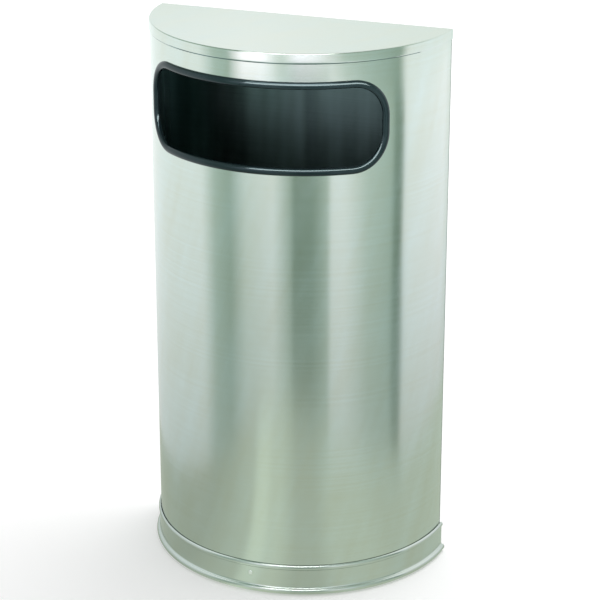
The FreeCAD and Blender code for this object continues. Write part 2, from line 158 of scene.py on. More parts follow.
def half_round(mesh, radius, back_y, height, corner=0.0):
    """Starts a half-round sheet about the can's axis, straight at back_y, its corners rounded or not."""
    aside = AXIS_Y - back_y + corner
    across = math.sqrt((radius - corner) ** 2 - aside ** 2)
    slant = math.atan2(aside, across)
    corner_turn = math.pi / 2.0 + slant
    first = mesh.verts.new((across, back_y, height))
    end = first
    if corner > 0.0:
        end = draw_arc(mesh, end, (across, back_y - corner, height), DOWNWARD, corner_turn, CORNER_STEPS)
    end = draw_arc(mesh, end, (0.0, AXIS_Y, height), DOWNWARD, math.pi - 2.0 * slant, ROUND_STEPS)
    if corner > 0.0:
        end = draw_arc(mesh, end, (-across, back_y - corner, height), DOWNWARD, corner_turn, CORNER_STEPS)
    mesh.edges.new((end, first))
    bmesh.ops.contextual_create(mesh, geom=[edge for edge in mesh.edges if edge.is_wire])


def fold(mesh, edges, reach):
    """Turns a flange out of some edges, by the vector reach, and returns its free edges."""
    made = bmesh.ops.extrude_edge_only(mesh, edges=edges)["geom"]
    verts = [item for item in made if isinstance(item, bmesh.types.BMVert)]
    bmesh.ops.translate(mesh, vec=reach, verts=verts)
    return [item for item in made if isinstance(item, bmesh.types.BMEdge)
            and item.verts[0] in verts and item.verts[1] in verts]


def round_off(mesh, edges, radius, steps):
    """Gives a fold or an edge its bend radius."""
    bmesh.ops.bevel(mesh, geom=edges, offset=radius, offset_type="OFFSET", segments=steps,
                    profile=0.5, affect="EDGES", material=-1)


def face_out(mesh, probe, outward):
    """Makes the faces of an open sheet agree, with the one nearest to probe facing outward."""
    bmesh.ops.remove_doubles(mesh, verts=mesh.verts, dist=SAME_POINT)
    bmesh.ops.recalc_face_normals(mesh, faces=mesh.faces)
    spot = Vector(probe)
    nearest = min(mesh.faces, key=lambda face: (face.calc_center_median() - spot).length)
    if nearest.normal.dot(Vector(outward)) < 0.0:
        bmesh.ops.reverse_faces(mesh, faces=mesh.faces)


def map_brushing(mesh):
    """Lays the brush map in metres, its U running level: round the can, or across a flat face."""
    layer = mesh.loops.layers.uv.new("brush")
    mesh.normal_update()
    for face in mesh.faces:
        middle = face.calc_center_median()
        level = abs(face.normal.z) > LEVEL_FACE
        flat_back = abs(face.normal.y) > BACK_FACE and middle.y > AXIS_Y - BACK_DEPTH
        for loop in face.loops:
            place = loop.vert.co
            if level:
                loop[layer].uv = (place.x, place.y)
            elif flat_back:
                loop[layer].uv = (place.x, place.z)
            else:
                turn = math.atan2(place.x, AXIS_Y - place.y)
                loop[layer].uv = (turn * PAN_RADIUS, place.z)


def add_piece(name, mesh, materials, sharp=35.0):
    """Makes the finished mesh an object of the scene, smooth up to the sharp angle in degrees."""
    data = bpy.data.meshes.new(name)
    mesh.to_mesh(data)
    mesh.free()
    data.shade_smooth()
    data.set_sharp_from_angle(angle=math.radians(sharp))
    for material in materials:
        data.materials.append(material)
    made = bpy.data.objects.new(name, data)
    bpy.context.scene.collection.objects.link(made)
    return made


def sheet_steel(name, dark, light, roughness, brushing, wave_depth, roll_marks_and_painted_reflections=0.0):
    """Sheet steel whose grain runs along the brush map's U.

    Brushing sets how far the grain shows, wave_depth how far the sheet is out of true, and the
    last how far upright bands show in its colour: partly the mill's roll marks, partly painted
    reflections.
    """
    material, tree, shader = new_material(name)
    shader.inputs["Metallic"].default_value = 1.0
    shader.inputs["Anisotropic"].default_value = 0.8
    shader.inputs["Anisotropic Rotation"].default_value = 0.25
    lie = add_node(tree, "ShaderNodeTangent")
    lie.direction_type = "UV_MAP"
    lie.uv_map = "brush"
    tree.links.new(lie.outputs["Tangent"], shader.inputs["Tangent"])
    sheet = add_node(tree, "ShaderNodeUVMap")
    sheet.uv_map = "brush"

    def noise(across, up, detail, lean=0.0):
        stretch = add_node(tree, "ShaderNodeMapping", Scale=(across, up, 1.0),
                           Rotation=(0.0, 0.0, math.radians(lean)))
        stretch.vector_type = "TEXTURE"
        tree.links.new(sheet.outputs["UV"], stretch.inputs["Vector"])
        made = add_node(tree, "ShaderNodeTexNoise", Scale=1.0, Detail=detail, Roughness=0.6)
        made.noise_dimensions = "2D"
        tree.links.new(stretch.outputs["Vector"], made.inputs["Vector"])
        return made.outputs["Fac"]

    def mixed(first, second, share):
        mix = add_node(tree, "ShaderNodeMix", Factor=share)
        tree.links.new(first, mix.inputs["A"])
        tree.links.new(second, mix.inputs["B"])
        return mix.outputs["Result"]

    hairline = noise(across=0.250, up=0.0006, detail=2.0)
    streak = noise(across=0.600, up=0.0035, detail=3.0)
    cloud = noise(across=0.090, up=0.130, detail=4.0)
    smear = noise(across=0.040, up=0.300, detail=3.0, lean=-20.0)
    wave = noise(across=0.085, up=0.400, detail=1.0)
    # Upright bands in the colour: partly roll marks, partly painted reflections inside the can.
    roll_and_reflection_bands = noise(across=0.045, up=0.900, detail=2.0)
    grain = mixed(hairline, streak, 0.5)
    patches = mixed(cloud, smear, 0.5)
    shade = mixed(grain, patches, 0.6)
    colour = tint(tree, mixed(shade, roll_and_reflection_bands, roll_marks_and_painted_reflections), dark, light)
    tree.links.new(colour, shader.inputs["Base Color"])
    gloss = spread(tree, shade, roughness - STEEL_GLOSS_RANGE, roughness + STEEL_GLOSS_RANGE)
    tree.links.new(gloss, shader.inputs["Roughness"])
    out_of_true = add_node(tree, "ShaderNodeBump", Strength=1.0, Distance=wave_depth)
    tree.links.new(wave, out_of_true.inputs["Height"])
    scratches = add_node(tree, "ShaderNodeBump", Strength=brushing, Distance=SCRATCH_DEPTH)
    tree.links.new(hairline, scratches.inputs["Height"])
    tree.links.new(out_of_true.outputs["Normal"], scratches.inputs["Normal"])
    tree.links.new(scratches.outputs["Normal"], shader.inputs["Normal"])
    return material


pan_steel = sheet_steel("pan_steel", PAN_DARK, PAN_LIGHT, roughness=0.42, brushing=0.10,
                        wave_depth=0.0003)
pan = bmesh.new()
half_round(pan, PAN_RADIUS, AXIS_Y, PAN_UNDERSIDE)
relief_y = AXIS_Y - PAN_RELIEF
bmesh.ops.bisect_plane(pan, geom=everything(pan), dist=SAME_POINT, plane_co=(0.0, relief_y, 0.0),
                       plane_no=BACKWARD)
rim = [edge for edge in pan.edges if edge.is_boundary]
curved = [edge for edge in rim if max(v.co.y for v in edge.verts) < relief_y + SLACK]
straight = [edge for edge in rim if min(v.co.y for v in edge.verts) > AXIS_Y - SLACK]
fold(pan, curved, (0.0, 0.0, PAN_FLANGE_TOP - PAN_UNDERSIDE))
fold(pan, straight, (0.0, 0.0, PAN_BACK_TOP - PAN_UNDERSIDE))
round_off(pan, curved + straight, PAN_BEND, BEND_STEPS)
face_out(pan, (0.0, 0.0, PAN_UNDERSIDE), DOWNWARD)
bmesh.ops.solidify(pan, geom=pan.faces[:], thickness=BASE_SHEET)
map_brushing(pan)
floor_pan = add_piece("floor_pan_sheet", pan, [pan_steel])
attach(floor_pan, "base")
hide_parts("floor_pan")


# Base band: a strip of brushed stainless steel rolled round the foot of the can.
# A lip bulges out along its top, and the foot sweeps out through a cove and curls under as a bead.
# A tab at each end is bent in behind the pan's back flange and riveted to it.

BAND_RADIUS = 0.2232
BAND_DARK = (0.537, 0.572, 0.502)
BAND_LIGHT = (0.573, 0.652, 0.636)
LIP_TOP = 0.0468
LIP_HEIGHT = 0.0070
LIP_BULGE = 0.0018
LIP_CURL = math.radians(15.0)  # how much further its top edge is turned in
LIP_STEPS = 10
COVE_RADIUS = 0.0030
COVE_STEPS = 5
BEAD_RADIUS = 0.0045
BEAD_PROJECTION = 0.0054
BEAD_CURL = math.radians(20.0)
BEAD_STEPS = 10
GROUND_GAP = 0.00175
TAB_WIDTH = 0.0220
TAB_BOTTOM = 0.0200
TAB_HEIGHT = 0.0190
TAB_OUTSIDE_Y = 0.1135


def draw_line(mesh, start, reach):
    """Draws on from a corner of an outline in a straight line, and returns where it ends."""
    made = bmesh.ops.extrude_vert_indiv(mesh, verts=[start])["verts"]
    bmesh.ops.translate(mesh, vec=reach, verts=made)
    return made[0]


band_steel = sheet_steel("band_steel", BAND_DARK, BAND_LIGHT, roughness=0.19, brushing=0.08,
                         wave_depth=0.0003)
band = bmesh.new()
lip_radius = ((LIP_HEIGHT / 2.0) ** 2 + LIP_BULGE ** 2) / (2.0 * LIP_BULGE)
lip_turn = 2.0 * math.asin(LIP_HEIGHT / 2.0 / lip_radius)
lip_centre = (BAND_RADIUS + LIP_BULGE - lip_radius, AXIS_Y, LIP_TOP - LIP_HEIGHT / 2.0)
lip_edge = lip_turn / 2.0 + LIP_CURL
bead_turn = math.acos(1.0 - BEAD_PROJECTION / (COVE_RADIUS + BEAD_RADIUS))
bead_height = GROUND_GAP + BEAD_RADIUS
bead_centre = (BAND_RADIUS + BEAD_PROJECTION - BEAD_RADIUS, AXIS_Y, bead_height)
cove_height = bead_height + (COVE_RADIUS + BEAD_RADIUS) * math.sin(bead_turn)
cove_centre = (BAND_RADIUS + COVE_RADIUS, AXIS_Y, cove_height)
corner = band.verts.new((lip_centre[0] + lip_radius * math.cos(lip_edge), AXIS_Y,
                         lip_centre[2] + lip_radius * math.sin(lip_edge)))
corner = draw_arc(band, corner, lip_centre, BACKWARD, lip_turn + LIP_CURL, LIP_STEPS)
corner = draw_line(band, corner, (0.0, 0.0, cove_height - LIP_TOP + LIP_HEIGHT))
corner = draw_arc(band, corner, cove_centre, BACKWARD, -bead_turn, COVE_STEPS)
draw_arc(band, corner, bead_centre, BACKWARD, bead_turn + math.pi / 2.0 + BEAD_CURL, BEAD_STEPS)
bmesh.ops.spin(band, geom=band.verts[:] + band.edges[:], cent=(0.0, AXIS_Y, 0.0), axis=UPWARD,
               angle=-math.pi, steps=ROUND_STEPS, use_merge=False, use_duplicate=False)
face_out(band, (0.0, AXIS_Y - BAND_RADIUS, TAB_BOTTOM), FORWARD)
bmesh.ops.solidify(band, geom=band.faces[:], thickness=BASE_SHEET)
for side in (-1.0, 1.0):
    tab = bmesh.ops.create_cube(band, size=1.0)["verts"]
    bmesh.ops.scale(band, vec=(TAB_WIDTH, BASE_SHEET, TAB_HEIGHT), verts=tab)
    bmesh.ops.translate(band, vec=(side * (BAND_RADIUS - BASE_SHEET / 2.0 - TAB_WIDTH / 2.0),
                                   TAB_OUTSIDE_Y - BASE_SHEET / 2.0,
                                   TAB_BOTTOM + TAB_HEIGHT / 2.0), verts=tab)
map_brushing(band)
base_band = add_piece("base_band_strip", band, [band_steel])
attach(base_band, "base")
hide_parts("base_band")


# Rivets of the base: blind aluminium rivets, one at the front of the band, one through each tab
# and one through each foot. A small domed head shows, with the dimple where the stem broke off.

RIVET_SHANK = 0.0016          # a radius, as are the head, the tail and the dimple
RIVET_HEAD = 0.0032
RIVET_HEAD_HEIGHT = 0.0010
RIVET_TAIL = 0.0026
RIVET_DIMPLE = 0.0010
RIVET_DIMPLE_DEPTH = 0.0005
RIVET_STEPS = 28
RIVET_SHARP = 60.0            # degrees up to which a rivet is shaded smooth
ALLOY_DARK = (0.76, 0.79, 0.78)
ALLOY_LIGHT = (0.90, 0.93, 0.92)
BASE_RIVET_HEIGHT = 0.0295
BAND_GRIP = 0.0015
FOOT_INSET = 0.0480           # from the pan's edge to the middle of a foot
FOOT_REACH = PAN_RADIUS - FOOT_INSET
FOOT_TURNS = (-32.0, 32.0, -70.0, 70.0)
FOOT_GRIP = 0.0031
FOOT_SHANK = 0.0020
FOOT_HEAD = 0.0040
FOOT_TAIL_HEIGHT = 0.0012


def set_rivet(mesh, seat, outward, grip, shank, head, tail_height):
    """Sets a blind rivet: a domed head on the point seat, and a shank back through the grip."""
    section = bmesh.new()
    rise = RIVET_HEAD_HEIGHT
    dip = RIVET_DIMPLE_DEPTH
    tail = shank * RIVET_TAIL / RIVET_SHANK
    profile = [(0.0, rise - dip), (RIVET_DIMPLE * 0.7, rise - dip * 0.9),
               (RIVET_DIMPLE, rise - dip * 0.1), (RIVET_DIMPLE * 1.25, rise),
               (head * 0.6, rise * 0.86), (head * 0.85, rise * 0.5), (head, rise * 0.12),
               (head, 0.0), (shank, 0.0), (shank, -grip)]
    if tail_height > 0.0:
        profile += [(tail, -grip), (tail * 0.8, -grip - tail_height), (0.0, -grip - tail_height)]
    else:
        profile += [(0.0, -grip)]
    corners = [section.verts.new((across, 0.0, along)) for across, along in profile]
    for start, end in zip(corners, corners[1:]):
        section.edges.new((start, end))
    bmesh.ops.spin(section, geom=section.verts[:] + section.edges[:], cent=(0.0, 0.0, 0.0), axis=UPWARD,
                   angle=2.0 * math.pi, steps=RIVET_STEPS, use_merge=True, use_duplicate=False)
    bmesh.ops.remove_doubles(section, verts=section.verts, dist=SAME_POINT)
    bmesh.ops.recalc_face_normals(section, faces=section.faces)
    lean = Vector(UPWARD).rotation_difference(Vector(outward)).to_matrix().to_4x4()
    bmesh.ops.transform(section, matrix=Matrix.Translation(seat) @ lean, verts=section.verts)
    spare = bpy.data.meshes.new("rivet")
    section.to_mesh(spare)
    section.free()
    mesh.from_mesh(spare)
    bpy.data.meshes.remove(spare)


rivet_alloy = moulded("rivet_alloy", ALLOY_DARK, ALLOY_LIGHT, roughness=0.26, grain_size=0.0006,
                      grain_depth=0.00005)
rivet_alloy.node_tree.nodes["Principled BSDF"].inputs["Metallic"].default_value = 1.0
front_rivet = bmesh.new()
set_rivet(front_rivet, (0.0, AXIS_Y - BAND_RADIUS, BASE_RIVET_HEIGHT), FORWARD, BAND_GRIP,
          RIVET_SHANK, RIVET_HEAD, 0.0)
back_rivets = bmesh.new()
tab_middle = BAND_RADIUS - BASE_SHEET - TAB_WIDTH / 2.0
for side in (-1.0, 1.0):
    set_rivet(back_rivets, (side * tab_middle, TAB_OUTSIDE_Y - BASE_SHEET, BASE_RIVET_HEIGHT), FORWARD,
              BAND_GRIP, RIVET_SHANK, RIVET_HEAD, 0.0)
foot_rivets = bmesh.new()
for turn in FOOT_TURNS:
    lean = math.radians(turn)
    seat = (FOOT_REACH * math.sin(lean), AXIS_Y - FOOT_REACH * math.cos(lean),
            PAN_UNDERSIDE + BASE_SHEET)
    set_rivet(foot_rivets, seat, UPWARD, FOOT_GRIP, FOOT_SHANK, FOOT_HEAD, FOOT_TAIL_HEIGHT)
for name, mesh, node in (("front_rivet", front_rivet, "base_front_rivet"),
                         ("tab_rivets", back_rivets, "base_back_rivets"),
                         ("foot_rivet_set", foot_rivets, "foot_rivets")):
    rivets = add_piece(name, mesh, [rivet_alloy], RIVET_SHARP)
    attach(rivets, "base")
    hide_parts(node)


# Liner: a tapered bin of dark grey moulded plastic that stands loose on the pan.
# Its rim is turned over and down so that two hands can lift it.
# The floor stands a little over a foot ring.

LINER_RIM_RADIUS = 0.2097
LINER_RIM_BACK = 0.1016
LINER_TOP = 0.5596
LINER_RIM_REACH = 0.0050
LINER_RIM_HEIGHT = 0.0140
LINER_RIM_BEND = 0.0016
LINER_DRAFT = 0.0060
LINER_CORNER = 0.0220
LINER_WALL = 0.0022
LINER_FOOT = PAN_UNDERSIDE + BASE_SHEET
LINER_FLOOR_BEND = 0.0040
LINER_RECESS = 0.0030         # how far the floor stands over the foot ring, and the step's width
LINER_RING = 0.0120
LINER_DARK = (0.038, 0.040, 0.043)
LINER_LIGHT = (0.046, 0.048, 0.052)


def corners_of(edges):
    return list({vert for edge in edges for vert in edge.verts})


liner_plastic = moulded("liner_plastic", LINER_DARK, LINER_LIGHT, roughness=0.50, grain_size=0.0009,
                        grain_depth=0.00015)
bin_mesh = bmesh.new()
floor_height = LINER_FOOT + LINER_WALL
inside_top = LINER_RIM_REACH + LINER_WALL
levels = ((floor_height, inside_top + LINER_DRAFT), (LINER_TOP, inside_top), (LINER_TOP, 0.0),
          (LINER_TOP - LINER_RIM_HEIGHT, 0.0))
loops = []
for height, step_in in levels:
    known = set(bin_mesh.edges)
    half_round(bin_mesh, LINER_RIM_RADIUS - step_in, LINER_RIM_BACK - step_in, height, LINER_CORNER)
    loops.append([edge for edge in bin_mesh.edges if edge not in known])
floor_face = bin_mesh.faces[:1]
bmesh.ops.delete(bin_mesh, geom=bin_mesh.faces[1:], context="FACES_ONLY")
for low, high in zip(loops, loops[1:]):
    bmesh.ops.bridge_loops(bin_mesh, edges=low + high)
for inset in (LINER_RING, LINER_RECESS):
    bmesh.ops.inset_region(bin_mesh, faces=floor_face, thickness=inset, depth=0.0,
                           use_boundary=True, use_even_offset=True)
bmesh.ops.translate(bin_mesh, vec=(0.0, 0.0, LINER_RECESS), verts=floor_face[0].verts[:])
round_off(bin_mesh, loops[0], LINER_FLOOR_BEND, BEND_STEPS)
round_off(bin_mesh, loops[1] + loops[2], LINER_RIM_BEND, BEND_STEPS)
face_out(bin_mesh, (0.0, 0.0, floor_height), UPWARD)
bmesh.ops.solidify(bin_mesh, geom=bin_mesh.faces[:], thickness=LINER_WALL)
liner = add_piece("liner_bin", bin_mesh, [liner_plastic])
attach(liner, "liner")
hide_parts("liner")


# Front wrap: one sheet of brushed stainless steel, with the disposal opening cut in the flat blank.
# It is rolled to a half circle, a return is folded in along each back edge, and the bottom edge
# is hemmed inwards so that it slides into the base without a sharp edge.

SHELL_RADIUS = 0.2212
SHELL_SHEET = 0.0008
SHELL_TOP = 0.8100
SHELL_DARK = (0.563, 0.600, 0.524)
SHELL_LIGHT = (0.604, 0.688, 0.673)
# The unbrushed inner side of the sheets: its dark colour is painted shade inside the can.
MILL_SHADE_DARK = (0.055, 0.087, 0.085)
MILL_SHADE_LIGHT = (0.180, 0.275, 0.270)
RETURN_OUTSIDE_Y = 0.1104
RETURN_WIDTH = 0.0095
HEM_HEIGHT = 0.0120
OPENING_WIDTH = 0.3880
OPENING_HEIGHT = 0.1160
OPENING_CORNER = 0.0470
OPENING_CORNER_STEPS = 12
OPENING_MIDDLE = 0.7076
WRAP_STEPS = 200
WRAP_BEND = 0.0014
WRAP_BEND_STEPS = 4
BEND_LINE_SPACING = 0.0004    # no two bend lines of the rolled sheet lie closer
ON_THE_LINE = 1e-7
HALF_BLANK = SHELL_RADIUS * math.acos((AXIS_Y - RETURN_OUTSIDE_Y) / SHELL_RADIUS)


def outline(mesh, width, height, middle):
    """Draws a flat rectangle, X along the sheet and Y up it, and returns its corners."""
    made = bmesh.ops.create_grid(mesh, x_segments=1, y_segments=1, size=0.5)["verts"]
    bmesh.ops.scale(mesh, vec=(width, height, 1.0), verts=made)
    bmesh.ops.translate(mesh, vec=(0.0, middle, 0.0), verts=made)
    return made


def roll(mesh):
    """Rolls a flat blank about the can's axis. Z on the blank is the way out from the sheet."""
    for vert in mesh.verts:
        along, up, out = vert.co
        turn = along / SHELL_RADIUS
        radius = SHELL_RADIUS + out
        vert.co = (radius * math.sin(turn), AXIS_Y - radius * math.cos(turn), up)


def mark_inside(mesh):
    """Gives the faces that look into the can the sheet's second side, which isn't brushed.
    Its colour is dark, as painted shade inside the can.
    """
    heart = Vector((0.0, 0.0, SHELL_TOP / 2.0))
    for face in mesh.faces:
        if face.normal.dot(face.calc_center_median() - heart) < 0.0:
            face.material_index = 1


# Painted shade: the inside of the can is coloured much darker than bare steel, with painted reflections
# as upright bands.
mill_steel_painted_shade = sheet_steel("mill_steel_painted_shade", MILL_SHADE_DARK, MILL_SHADE_LIGHT, roughness=0.36, brushing=0.10,
                         wave_depth=0.0012, roll_marks_and_painted_reflections=0.6)
wrap_steel = sheet_steel("wrap_steel", SHELL_DARK, SHELL_LIGHT, roughness=0.18, brushing=0.08,
                         wave_depth=0.0004)
wrap = bmesh.new()
hole = outline(wrap, OPENING_WIDTH, OPENING_HEIGHT, OPENING_MIDDLE)
bmesh.ops.bevel(wrap, geom=hole, offset=OPENING_CORNER, offset_type="OFFSET",
                segments=OPENING_CORNER_STEPS, profile=0.5, affect="VERTICES", material=-1)
hole_places = [vert.co.x for vert in wrap.verts]
outline(wrap, 2.0 * HALF_BLANK, SHELL_TOP - LINER_FOOT, (SHELL_TOP + LINER_FOOT) / 2.0)
bmesh.ops.delete(wrap, geom=wrap.faces[:], context="FACES_ONLY")
bmesh.ops.triangle_fill(wrap, edges=wrap.edges[:], use_beauty=True, use_dissolve=False)
places = [HALF_BLANK * (2.0 * step / WRAP_STEPS - 1.0) for step in range(1, WRAP_STEPS)]
last = -HALF_BLANK
for place in sorted(places + hole_places):
    if min(place - last, HALF_BLANK - place) > BEND_LINE_SPACING:
        bmesh.ops.bisect_plane(wrap, geom=everything(wrap), dist=ON_THE_LINE,
                               plane_co=(place, 0.0, 0.0), plane_no=(1.0, 0.0, 0.0))
        last = place
slanted = [edge for edge in wrap.edges if not edge.is_boundary
           and abs(edge.verts[0].co.x - edge.verts[1].co.x) > SAME_POINT]
bmesh.ops.dissolve_edges(wrap, edges=slanted, use_verts=False, use_face_split=False)
idle = [vert for vert in wrap.verts if not vert.is_boundary and len(vert.link_edges) == 2]
bmesh.ops.dissolve_verts(wrap, verts=idle)
roll(wrap)
back_edges = [[edge for edge in wrap.edges if edge.is_boundary
               and min(side * v.co.x for v in edge.verts) > 0.0
               and min(v.co.y for v in edge.verts) > RETURN_OUTSIDE_Y - SLACK] for side in (-1.0, 1.0)]
bottom_edges = [edge for edge in wrap.edges if edge.is_boundary
                and max(v.co.z for v in edge.verts) < LINER_FOOT + SLACK]
for side, edges in zip((-1.0, 1.0), back_edges):
    fold(wrap, edges, (-side * RETURN_WIDTH, 0.0, 0.0))
    round_off(wrap, edges, WRAP_BEND, WRAP_BEND_STEPS)
hem_edges = fold(wrap, [edge for edge in bottom_edges if edge.is_valid], (0.0, 0.0, 0.0))
draw_in = 1.0 - 2.0 * SHELL_SHEET / SHELL_RADIUS
about_axis = Matrix.Translation((0.0, -AXIS_Y, 0.0))
bmesh.ops.scale(wrap, vec=(draw_in, draw_in, 1.0), space=about_axis, verts=corners_of(hem_edges))
fold(wrap, hem_edges, (0.0, 0.0, HEM_HEIGHT))
face_out(wrap, (0.0, AXIS_Y - SHELL_RADIUS, SHELL_TOP / 2.0), FORWARD)
bmesh.ops.solidify(wrap, geom=wrap.faces[:], thickness=SHELL_SHEET)
map_brushing(wrap)
mark_inside(wrap)
front_wrap = add_piece("front_wrap_sheet", wrap, [wrap_steel, mill_steel_painted_shade])
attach(front_wrap, "shell")
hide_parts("front_wrap")


# Opening trim: a U-channel of black vinyl pressed over the cut edge of the opening.
# Both its faces are domed, and its two ends butt against one another in the top run.

TRIM_LEG = 0.0080
TRIM_WEB = 0.0025
TRIM_DOME = 0.0037
TRIM_DOME_STEPS = 14
TRIM_SLOT = 0.0001
TRIM_JOINT = -0.0085
TRIM_JOINT_GAP = 0.0004
TRIM_RUN_STEPS = 50           # in half a long run
TRIM_SIDE_STEPS = 4
TRIM_CORNER_STEPS = 14
TRIM_SHARP = 50.0             # degrees up to which it is shaded smooth
VINYL_DARK = (0.002, 0.005, 0.006)
VINYL_LIGHT = (0.004, 0.008, 0.009)
VINYL_GLOSS = (0.60, 0.86, 0.93, 1.0)
ALONG = (1.0, 0.0, 0.0)       # along the sheet, before it is rolled

trim_vinyl = moulded("trim_vinyl", VINYL_DARK, VINYL_LIGHT, roughness=0.14, grain_size=0.0015,
                     grain_depth=0.00003)
vinyl_shader = trim_vinyl.node_tree.nodes["Principled BSDF"]
vinyl_shader.inputs["Specular IOR Level"].default_value = 0.42
vinyl_shader.inputs["Specular Tint"].default_value = VINYL_GLOSS
trim = bmesh.new()
run = OPENING_WIDTH / 2.0 - OPENING_CORNER
rise = OPENING_HEIGHT / 2.0 - OPENING_CORNER
cut_edge = OPENING_MIDDLE + OPENING_HEIGHT / 2.0
joint_start = TRIM_JOINT + TRIM_JOINT_GAP / 2.0
joint_end = TRIM_JOINT - TRIM_JOINT_GAP / 2.0
dome_half = (TRIM_LEG + TRIM_WEB) / 2.0
dome_middle = cut_edge + TRIM_LEG - dome_half
inner_face = -SHELL_SHEET - TRIM_SLOT


def squeeze(mesh, verts, out):
    """Flattens a round dome to its real height over the face at out."""
    bmesh.ops.scale(mesh, vec=(1.0, 1.0, TRIM_DOME / dome_half),
                    space=Matrix.Translation((0.0, 0.0, -out)), verts=verts)


def sweep_on(mesh, edges, reach, steps):
    """Carries the channel's section straight on and returns it at its new place."""
    step = Vector(reach) / steps
    swept = bmesh.ops.spin(mesh, geom=edges, cent=(0.0, 0.0, 0.0), axis=UPWARD, dvec=step,
                           angle=0.0, steps=steps, use_merge=False, use_duplicate=False)
    return [item for item in swept["geom_last"] if isinstance(item, bmesh.types.BMEdge)]


def sweep_round(mesh, edges, centre):
    """Carries the channel's section a quarter turn round a corner of the opening."""
    swept = bmesh.ops.spin(mesh, geom=edges, cent=centre, axis=UPWARD, angle=-math.pi / 2.0,
                           steps=TRIM_CORNER_STEPS, use_merge=False, use_duplicate=False)
    return [item for item in swept["geom_last"] if isinstance(item, bmesh.types.BMEdge)]


first = trim.verts.new((joint_start, cut_edge + TRIM_LEG, TRIM_SLOT))
corner = draw_arc(trim, first, (joint_start, dome_middle, TRIM_SLOT), ALONG, math.pi, TRIM_DOME_STEPS)
squeeze(trim, trim.verts[:], TRIM_SLOT)
outer_dome = set(trim.verts)
corner = draw_line(trim, corner, (0.0, 0.0, inner_face - TRIM_SLOT))
corner = draw_arc(trim, corner, (joint_start, dome_middle, inner_face), ALONG, math.pi, TRIM_DOME_STEPS)
squeeze(trim, [vert for vert in trim.verts if vert not in outer_dome], inner_face)
corner = draw_line(trim, corner, (0.0, -TRIM_LEG - TRIM_SLOT, 0.0))
corner = draw_line(trim, corner, (0.0, 0.0, TRIM_SLOT - inner_face))
trim.edges.new((corner, first))
section = trim.edges[:]
bmesh.ops.contextual_create(trim, geom=section)
section = sweep_on(trim, section, (run - joint_start, 0.0, 0.0), TRIM_RUN_STEPS)
section = sweep_round(trim, section, (run, OPENING_MIDDLE + rise, 0.0))
section = sweep_on(trim, section, (0.0, -2.0 * rise, 0.0), TRIM_SIDE_STEPS)
section = sweep_round(trim, section, (run, OPENING_MIDDLE - rise, 0.0))
section = sweep_on(trim, section, (-2.0 * run, 0.0, 0.0), 2 * TRIM_RUN_STEPS)
section = sweep_round(trim, section, (-run, OPENING_MIDDLE - rise, 0.0))
section = sweep_on(trim, section, (0.0, 2.0 * rise, 0.0), TRIM_SIDE_STEPS)
section = sweep_round(trim, section, (-run, OPENING_MIDDLE + rise, 0.0))
section = sweep_on(trim, section, (run + joint_end, 0.0, 0.0), TRIM_RUN_STEPS)
bmesh.ops.contextual_create(trim, geom=section)
roll(trim)
bmesh.ops.recalc_face_normals(trim, faces=trim.faces)
opening_trim = add_piece("opening_trim_channel", trim, [trim_vinyl], TRIM_SHARP)
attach(opening_trim, "shell")
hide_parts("opening_trim")


# Back panel: a flat sheet of the same brushed stainless steel that closes the shell behind.
# It lies on the two folded returns of the wrap and is riveted through them.

PANEL_OUTSIDE_Y = 0.1113
PANEL_HALF = math.sqrt(SHELL_RADIUS ** 2 - (AXIS_Y - PANEL_OUTSIDE_Y) ** 2)

panel_steel = sheet_steel("panel_steel", SHELL_DARK, SHELL_LIGHT, roughness=0.19, brushing=0.08,
                          wave_depth=0.0005)
panel = bmesh.new()
outline(panel, 2.0 * PANEL_HALF, SHELL_TOP - LINER_FOOT, (SHELL_TOP + LINER_FOOT) / 2.0)
stand_up = Matrix(((-1.0, 0.0, 0.0, 0.0), (0.0, 0.0, 1.0, PANEL_OUTSIDE_Y), (0.0, 1.0, 0.0, 0.0),
                   (0.0, 0.0, 0.0, 1.0)))
bmesh.ops.transform(panel, matrix=stand_up, verts=panel.verts)
face_out(panel, (0.0, PANEL_OUTSIDE_Y, SHELL_TOP / 2.0), BACKWARD)
bmesh.ops.solidify(panel, geom=panel.faces[:], thickness=SHELL_SHEET)
map_brushing(panel)
mark_inside(panel)
back_panel = add_piece("back_panel_sheet", panel, [panel_steel, mill_steel_painted_shade])
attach(back_panel, "shell")
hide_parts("back_panel")


# Seam rivets: a row of blind aluminium rivets down each back edge of the shell.
# They go through the panel and the wrap's return, and their tails spread inside.

SEAM_X = PANEL_HALF - RETURN_WIDTH / 2.0
SEAM_RIVET_COUNT = 5
SEAM_RIVET_MARGIN = 0.0800
SEAM_GRIP = 0.0017

seam_low = LINER_FOOT + SEAM_RIVET_MARGIN
seam_high = SHELL_TOP - SEAM_RIVET_MARGIN
for name, side in (("left", -1.0), ("right", 1.0)):
    seam = bmesh.new()
    for step in range(SEAM_RIVET_COUNT):
        height = seam_low + (seam_high - seam_low) * step / (SEAM_RIVET_COUNT - 1)
        set_rivet(seam, (side * SEAM_X, PANEL_OUTSIDE_Y, height), BACKWARD, SEAM_GRIP,
                  RIVET_SHANK, RIVET_HEAD, RIVET_HEAD_HEIGHT)
    rivets = add_piece(name + "_seam_rivet_row", seam, [rivet_alloy], RIVET_SHARP)
    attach(rivets, "shell")
    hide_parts(name + "_seam_rivets")


# Top cap: a flat half-round lid of brushed stainless steel.
# Its flange is turned down all round over the wrap and the back panel.

CAP_RADIUS = 0.2221
CAP_BACK_Y = 0.1122
CAP_TOP = 0.8128
CAP_FLANGE = 0.0148
CAP_BEND = 0.0020
CAP_BEND_STEPS = 5
CAP_SPRING = 0.0008           # how far the curved flange springs out
CAP_EDGE = 0.0018             # the height over which its free edge is dressed in again
CAP_BORDER = 0.0010           # a border of the flat lid, which keeps its shading flat

